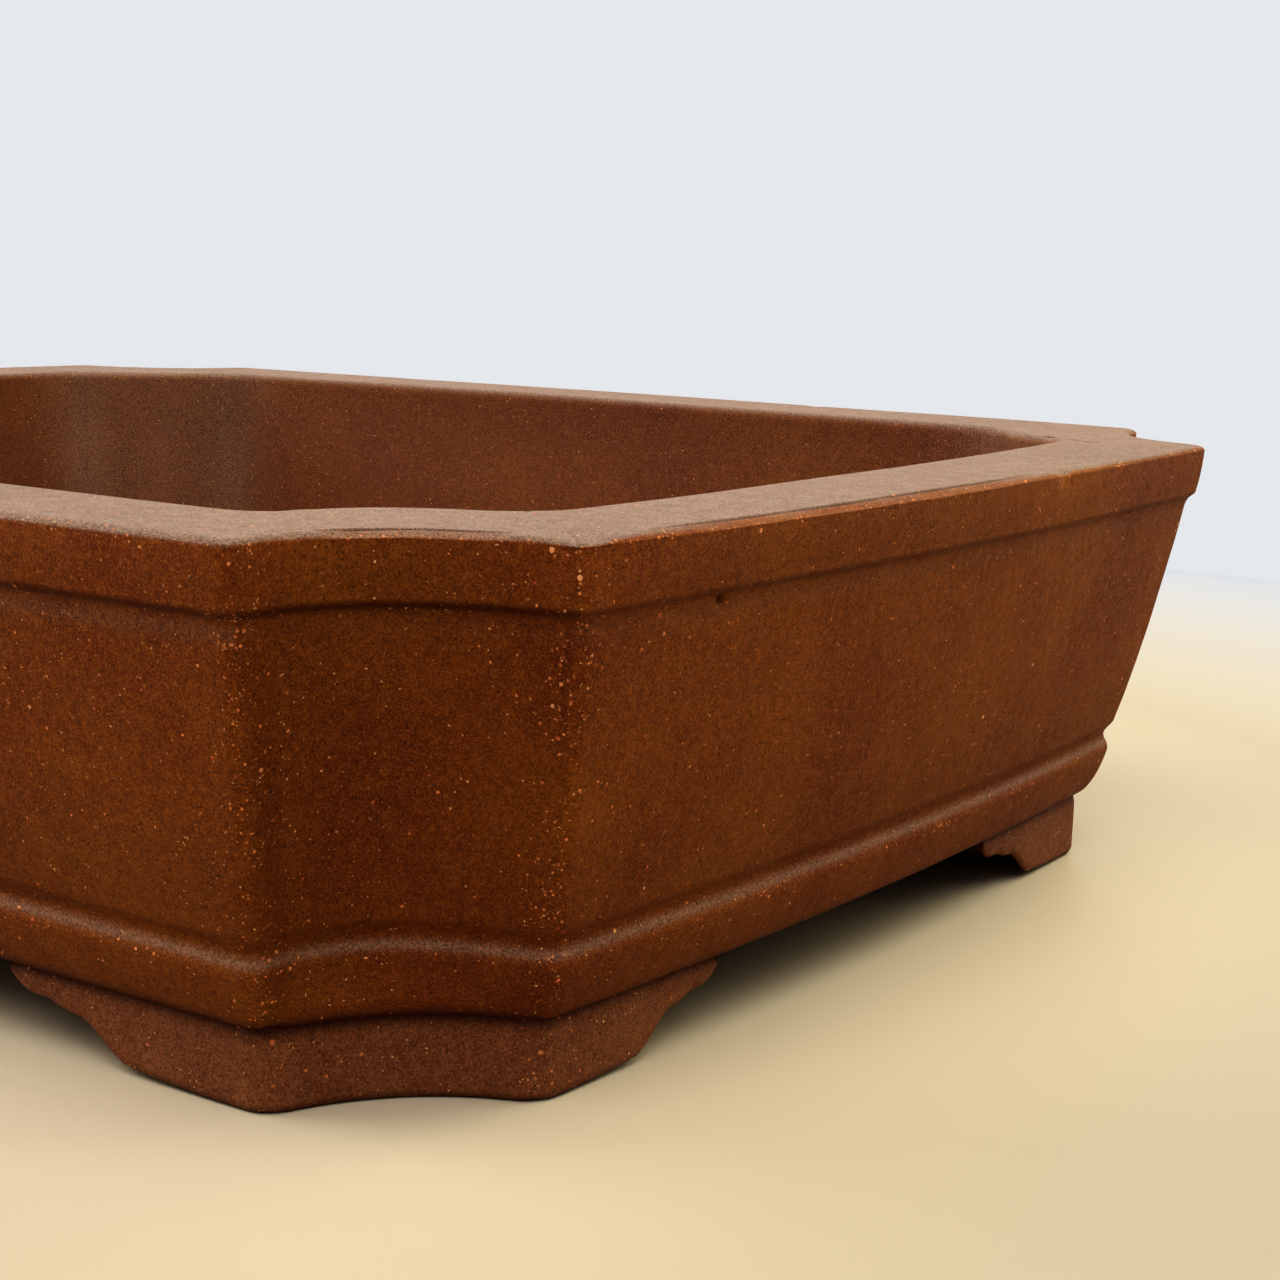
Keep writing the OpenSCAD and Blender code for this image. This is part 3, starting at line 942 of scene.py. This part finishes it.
def clip_piece(side, material):
    """A bent wire: a round section carried along its route without twisting."""
    node = "clip_" + side
    low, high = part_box(node)
    middle = np.array([(low[0] + high[0]) / 2, (low[1] + high[1]) / 2, 0])
    route = clip_route()
    ahead = np.gradient(route, axis=0)
    ahead /= np.linalg.norm(ahead, axis=1)[:, None]
    turn = np.arange(wire_facets) * 2 * math.pi / wire_facets
    sideways = np.array([0, 1, 0])
    rings = []
    for k, (point, tangent) in enumerate(zip(route, ahead)):
        sideways = sideways - tangent * np.dot(sideways, tangent)
        sideways = sideways / np.linalg.norm(sideways)
        upward = np.cross(tangent, sideways)
        radius = wire_r * (0.8 if k in (0, len(route) - 1) else 1)
        ring = np.cos(turn)[:, None] * sideways - np.sin(turn)[:, None] * upward
        rings.append(middle + point + radius * ring)
    grid = np.array(rings)
    normals = grid_normals(grid, np.ones(wire_facets, bool), closed=False)
    mesh = skin_mesh(node + "_wire", grid, normals, {})
    place(node + "_wire", mesh, node, "wire", material)


# ---- Materials ----

class Shader:
    """Builds a material's nodes: each call makes one node and returns its output."""

    def __init__(self, name):
        self.material = bpy.data.materials.new(name)
        self.material.use_nodes = True
        self.tree = self.material.node_tree
        self.surface = self.tree.nodes["Principled BSDF"]
        self.coordinates = self.make("ShaderNodeTexCoord", out="Object")

    def make(self, kind, out=0, settings=None, **sockets):
        """A new node; sockets go by name, or by number as i0, i1 and so on."""
        node = self.tree.nodes.new(kind)
        for key, value in (settings or {}).items():
            setattr(node, key, value)
        for key, value in sockets.items():
            socket = node.inputs[int(key[1:])] if key[1:].isdigit() else node.inputs[key]
            self.feed(socket, value)
        return node.outputs[out]

    def feed(self, socket, value):
        if isinstance(value, bpy.types.NodeSocket):
            self.tree.links.new(value, socket)
        else:
            socket.default_value = value

    def set(self, **sockets):
        for key, value in sockets.items():
            self.feed(self.surface.inputs[key.replace("_", " ")], value)

    def noise(self, scale, detail=2.0, roughness=0.5, where=None):
        return self.make("ShaderNodeTexNoise", out="Fac", Vector=where or self.coordinates,
                         Scale=scale, Detail=detail, Roughness=roughness)

    def attribute(self, name):
        return self.make("ShaderNodeAttribute", out="Fac", settings={"attribute_name": name})

    def math(self, operation, a, b=0.0):
        return self.make("ShaderNodeMath", settings={"operation": operation}, i0=a, i1=b)

    def ramp(self, value, low, high, to_low=0.0, to_high=1.0):
        """value, mapped from low..high to to_low..to_high and held there."""
        return self.make("ShaderNodeMapRange", i0=value, i1=low, i2=high, i3=to_low, i4=to_high)

    def mix(self, weight, a, b):
        """The colour a, turned towards b by weight."""
        node = self.tree.nodes.new("ShaderNodeMix")
        node.data_type = "RGBA"
        for socket, value in ((node.inputs[0], weight), (node.inputs[6], a), (node.inputs[7], b)):
            self.feed(socket, value)
        return node.outputs[2]

    def grains(self, scale, size, share, where):
        """Irregular grains: a mask over the cells of a Voronoi pattern, and a tint for each."""
        cells = self.tree.nodes.new("ShaderNodeTexVoronoi")
        self.feed(cells.inputs["Vector"], where)
        self.feed(cells.inputs["Scale"], scale)
        tint = self.make("ShaderNodeSeparateColor", out=0, i0=cells.outputs["Color"])
        tint_two = tint.node.outputs[1]
        reach = self.ramp(tint_two, 0.0, 1.0, 0.4 * size, size)
        inside = self.ramp(self.math("SUBTRACT", cells.outputs["Distance"], reach), 0.0, -0.06)
        chosen = self.math("LESS_THAN", tint, share)
        return self.math("MULTIPLY", inside, chosen), tint.node.outputs[2]

    def bump(self, height, distance, strength=1.0, normal=None):
        sockets = {"Height": height, "Distance": distance, "Strength": strength}
        if normal:
            sockets["Normal"] = normal
        return self.make("ShaderNodeBump", **sockets)


def colour(red, green, blue):
    """An sRGB colour, 0 to 255, as a linear one."""
    def linear(v):
        v = v / 255
        return v / 12.92 if v <= 0.04045 else ((v + 0.055) / 1.055) ** 2.4
    return (linear(red), linear(green), linear(blue), 1)


DARK_MOTTLE = (0.04, 0.012, 0.003, 1)
DARK_FLECK = (0.03, 0.012, 0.004, 1)
# The dark that painted shade and darker tones mix towards
SHADE_AND_TONE_DARK = (0.045, 0.008, 0.002, 1)
# Pale dust tones, which also serve as painted highlight and sheen
DUST_AND_HIGHLIGHT_TONES = (colour(87, 70, 59), colour(134, 114, 100))
RUST_GRAINS = (colour(158, 80, 38), colour(218, 138, 84))
BIG_GRAINS = (colour(176, 82, 40), colour(222, 160, 106))
CREAM_GRAIN = colour(214, 156, 104)
BLACK_GRAIN = (0.012, 0.006, 0.004, 1)


def clay_body(s, deep, main, light, fine):
    """Colour of the fired clay: slow drifts, mottling, and light and dark flecks."""
    mottle = s.noise(900.0, 3.0, 0.65)
    body = s.mix(s.ramp(s.noise(28.0, 3.0), 0.35, 0.68), deep, main)
    body = s.mix(s.ramp(s.noise(130.0, 2.0), 0.5, 0.75, 0.0, 0.15), body, light)
    body = s.mix(s.ramp(mottle, 0.5, 0.75, 0.0, 0.35), body, light)
    body = s.mix(s.ramp(mottle, 0.5, 0.25, 0.0, 0.35), body, DARK_MOTTLE)
    body = s.mix(s.ramp(fine, 0.5, 0.72, 0.0, 0.55), body, light)
    return s.mix(s.ramp(fine, 0.5, 0.28, 0.0, 0.55), body, DARK_FLECK)


def clay_grains(s, body, edge, coarse, grain_share):
    """The body with its grains, crowded at the edges, and how far they stand out of it."""
    wander = s.make("ShaderNodeTexNoise", out="Color", Vector=s.coordinates, Scale=2400.0,
                    Detail=1.0)
    bent = s.make("ShaderNodeVectorMath", settings={"operation": "MULTIPLY_ADD"},
                  i0=wander, i1=(0.0003, 0.0003, 0.0003), i2=s.coordinates)
    patchy = s.ramp(s.noise(190.0, 2.0), 0.34, 0.56)
    crowd = s.math("MULTIPLY", edge, patchy)
    rust_share = s.math("ADD", 0.9 * grain_share, s.math("MULTIPLY", crowd, 0.65))
    rust, rust_tint = s.grains(1600.0, 0.42, rust_share, bent)
    cream_share = s.math("ADD", 0.8 * grain_share, s.math("MULTIPLY", crowd, 0.2))
    cream_share = s.math("ADD", cream_share, s.math("MULTIPLY", coarse, 0.1))
    cream, cream_tint = s.grains(2300.0, 0.42, cream_share, bent)
    big_share = s.math("ADD", 0.004, s.math("MULTIPLY", crowd, 0.2))
    big, big_tint = s.grains(950.0, 0.38, big_share, bent)
    black = s.grains(2700.0, 0.42, s.ramp(coarse, 0.0, 1.0, 0.08, 0.22), bent)[0]
    body = s.mix(s.math("MULTIPLY", rust, s.ramp(rust_tint, 0.0, 1.0, 0.2, 0.9)), body,
                 s.mix(rust_tint, *RUST_GRAINS))
    body = s.mix(s.math("MULTIPLY", cream, s.ramp(cream_tint, 0.2, 1.0, 0.1, 0.85)), body,
                 CREAM_GRAIN)
    body = s.mix(s.math("MULTIPLY", big, 0.8), body, s.mix(big_tint, *BIG_GRAINS))
    body = s.mix(s.math("MULTIPLY", black, 0.75), body, BLACK_GRAIN)
    proud = s.math("ADD", s.math("ADD", rust, cream), big)
    return body, s.math("SUBTRACT", proud, black)


def clay_material(name, deep, main, light, grain_share):
    """Unglazed stoneware: mottled body, grog grains, pale dust with painted highlight on the
    shoulders and rim, painted shade in the creases.
    """
    s = Shader(name)
    edge, cavity, bloom = (s.attribute(mask) for mask in ("edge", "cavity", "bloom"))
    coarse = s.ramp(s.noise(38.0, 2.0), 0.47, 0.63)
    fine = s.noise(3300.0, 2.0, 0.6)
    body = clay_body(s, deep, main, light, fine)
    # Pale dust, and painted highlight and sheen, mixed in by the pale mask
    body = s.mix(bloom, body, s.mix(s.ramp(fine, 0.35, 0.65), *DUST_AND_HIGHLIGHT_TONES))
    # Painted shade in creases, pits and the inside, and a darker tone, mixed in by the darkening
    # mask
    body = s.mix(s.math("MULTIPLY", cavity, 0.85), body, SHADE_AND_TONE_DARK)
    body, grains = clay_grains(s, body, edge, coarse, grain_share)
    rough = s.ramp(s.noise(420.0, 2.0), 0.3, 0.7, 0.56, 0.7)
    lumps = s.bump(s.noise(300.0, 3.0), 0.00035, s.ramp(bloom, 0.0, 0.8, 0.3, 0.05))
    tooth = s.bump(s.noise(3000.0, 2.0, 0.6), 0.00015, s.ramp(coarse, 0.0, 1.0, 0.5, 0.95), lumps)
    s.set(Base_Color=body, Roughness=rough, Normal=s.bump(grains, 0.0001, 0.6, tooth))
    s.set(Specular_IOR_Level=0.3, IOR=1.3)
    return s.material


def screen_material():
    """Black moulded plastic with a faint grain and dust."""
    s = Shader("screen_plastic")
    dust = s.ramp(s.noise(220.0, 4.0), 0.5, 0.75, 0.0, 0.35)
    body = s.mix(dust, (0.012, 0.013, 0.013, 1), (0.09, 0.075, 0.06, 1))
    rough = s.ramp(s.noise(600.0, 2.0), 0.3, 0.7, 0.38, 0.58)
    s.set(Base_Color=body, Roughness=rough, Normal=s.bump(s.noise(1800.0), 0.00008, 0.4))
    return s.material


def wire_material():
    """Soft aluminium wire with drawn streaks and a dull oxide."""
    s = Shader("wire_aluminium")
    stretched = s.make("ShaderNodeMapping", i0=s.coordinates, i3=(150.0, 1400.0, 1400.0))
    streak = s.noise(1.0, 3.0, where=stretched)
    bright, dull = (0.56, 0.55, 0.53, 1), (0.36, 0.34, 0.32, 1)
    body = s.mix(s.ramp(s.noise(260.0, 3.0), 0.4, 0.7), bright, dull)
    s.set(Base_Color=body, Metallic=1.0, Roughness=s.ramp(streak, 0.3, 0.7, 0.28, 0.48))
    s.set(Normal=s.bump(streak, 0.00004, 0.5))
    return s.material


# ---- Stage, lights and camera ----

SURROUND = (0.95, 0.97, 1.0, 1)
SURROUND_LIGHT = 0.6
PALE_FLOOR = (0.46, 0.39, 0.29, 1)
WARM_WHITE = (1.0, 0.99, 0.95)


def stage_floor():
    """A wide pale floor, warm round the pot, which runs out into the bright surround."""
    bpy.ops.mesh.primitive_circle_add(vertices=128, radius=3.0, fill_type="NGON",
                                      location=(0, 0, -0.05 * MM))
    ground = bpy.context.object
    ground.name = "stage_floor"
    s = Shader("stage_floor")
    far = s.make("ShaderNodeVectorMath", out="Value", settings={"operation": "LENGTH"},
                 i0=s.coordinates)
    away = s.ramp(far, 0.16, 0.44)
    s.set(Base_Color=s.mix(away, PALE_FLOOR, (0, 0, 0, 1)), Roughness=0.6)
    s.set(Specular_IOR_Level=s.ramp(away, 0.0, 1.0, 0.15, 0.0), Emission_Color=SURROUND)
    s.set(Emission_Strength=s.ramp(far, 0.23, 0.45, 0.0, SURROUND_LIGHT))
    ground.data.materials.append(s.material)


def soft_light(name, heading, elevation, distance, size, power, tint):
    """A square softbox that faces the pot from a heading (0 is +X) and an elevation."""
    data = bpy.data.lights.new(name, "AREA")
    data.shape = "SQUARE"
    data.size = size
    data.energy = power
    data.color = tint
    lamp = bpy.data.objects.new(name, data)
    bpy.context.scene.collection.objects.link(lamp)
    h, e = math.radians(heading), math.radians(elevation)
    away = Vector((math.cos(h) * math.cos(e), math.sin(h) * math.cos(e), math.sin(e)))
    lamp.location = away * distance
    lamp.rotation_mode = "QUATERNION"
    lamp.rotation_quaternion = away.to_track_quat("Z", "Y")
    lamp.visible_camera = False


def stage_dome():
    """A bright surround that the camera and reflections see, and that lights nothing."""
    bpy.ops.mesh.primitive_uv_sphere_add(segments=64, ring_count=32, radius=4.0)
    dome = bpy.context.object
    dome.name = "stage_dome"
    s = Shader("stage_dome")
    s.set(Base_Color=(0, 0, 0, 1), Emission_Color=SURROUND, Emission_Strength=SURROUND_LIGHT)
    s.set(Specular_IOR_Level=0.0)
    dome.data.materials.append(s.material)
    dome.visible_diffuse = False
    dome.visible_shadow = False


def make_world():
    world = bpy.data.worlds.new("studio")
    world.use_nodes = True
    sky = world.node_tree.nodes["Background"]
    sky.inputs["Color"].default_value = (0.93, 0.96, 1.0, 1)
    sky.inputs["Strength"].default_value = 0.27
    bpy.context.scene.world = world


def make_camera():
    """The viewpoint: just above the rim, off the front right corner."""
    heading, pitch_down, roll = (math.radians(a) for a in (125.98, 10.13, 1.22))
    eye = Vector((half_l + 147.7 * MM, -half_w - 165.1 * MM, pot_h + 32.1 * MM))
    ahead = Vector((math.cos(heading) * math.cos(pitch_down),
                    math.sin(heading) * math.cos(pitch_down), -math.sin(pitch_down)))
    level = Vector((math.sin(heading), -math.cos(heading), 0))
    right = Matrix.Rotation(-roll, 3, ahead) @ level
    upward = right.cross(ahead)
    turn = Matrix((right, upward, -ahead)).transposed()
    data = bpy.data.cameras.new("camera")
    data.sensor_width = 36
    data.lens = 61.6
    data.clip_start, data.clip_end = 0.01, 20
    camera = bpy.data.objects.new("camera", data)
    camera.matrix_world = Matrix.Translation(eye) @ turn.to_4x4()
    bpy.context.scene.collection.objects.link(camera)
    bpy.context.scene.camera = camera


# ---- Everything ----

make_camera()
make_world()
stage_floor()
stage_dome()
soft_light("right", 55, 38, distance=1.05, size=0.9, power=8.2, tint=(1.0, 0.98, 0.72))
soft_light("left", 205, 33, distance=1.4, size=1.0, power=15, tint=(1.0, 0.98, 0.9))
soft_light("behind", 126, 35, distance=1.5, size=1.4, power=6, tint=WARM_WHITE)
soft_light("over", 306, 60, distance=1.3, size=1.2, power=15, tint=WARM_WHITE)

body_clay = clay_material("clay", deep=colour(104, 47, 5), main=colour(122, 67, 8),
                          light=colour(154, 94, 34), grain_share=0.035)
foot_clay = clay_material("foot_clay", deep=colour(109, 61, 34), main=colour(125, 77, 46),
                          light=colour(157, 109, 72), grain_share=0.05)

ring_pieces("rim", "rim", rim_section(), rim_masks, body_clay, chamfer_shift)
ring_pieces("wall", "corner", wall_section(), wall_masks, body_clay)
ring_pieces("belt", "belt", belt_section(), belt_masks, body_clay)
for run in (FRONT_RIGHT, BACK_RIGHT, BACK_LEFT, FRONT_LEFT):
    foot_piece(run, foot_clay)
floor_piece(body_clay)
plastic, aluminium = screen_material(), wire_material()
for side in ("right", "left"):
    screen_piece(side, plastic)
    clip_piece(side, aluminium)

bpy.context.scene.view_settings.view_transform = "Standard"
bpy.context.scene.view_settings.look = "High Contrast"
